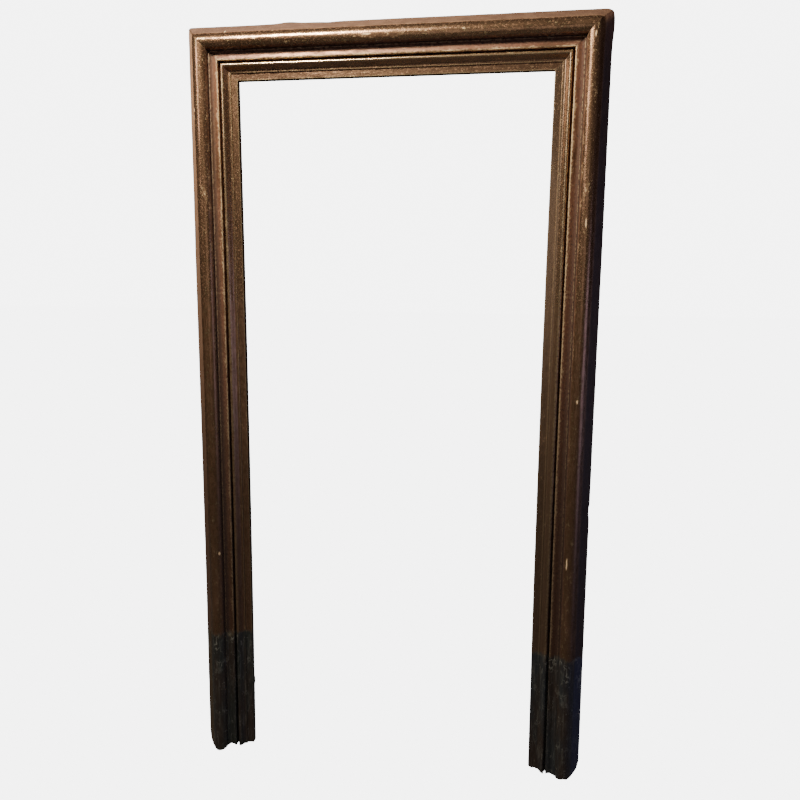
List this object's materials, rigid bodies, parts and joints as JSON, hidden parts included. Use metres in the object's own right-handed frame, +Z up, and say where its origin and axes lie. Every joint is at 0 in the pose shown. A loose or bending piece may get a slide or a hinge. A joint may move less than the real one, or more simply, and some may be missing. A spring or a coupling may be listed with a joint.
{
  "type": "door surround",
  "caption": "Moulded wooden door surround: two uprights and a head mitred at the corners, with a large torus, a quirked inner moulding, worn gilding and broken feet.",
  "frame": {"origin": "on the back of the head, at the middle of its width and of its face, where it is fixed to the wall", "axes": "+Y into the wall, the mouldings standing out towards -Y; +Z up along the jambs; +X to the right as seen from the front"},
  "size_m": [1.222, 0.063, 2.2713],
  "materials": {
    "gilt_wood_jambs": "worn toned gold leaf over red-brown ground, bare black-green wood at the feet",
    "gilt_wood_head": "worn toned gold leaf over red-brown ground"
  },
  "bodies": {
    "root": {"left_jamb": "gilt_wood_jambs", "right_jamb": "gilt_wood_jambs", "head": "gilt_wood_head"}
  },
  "joints": []
}
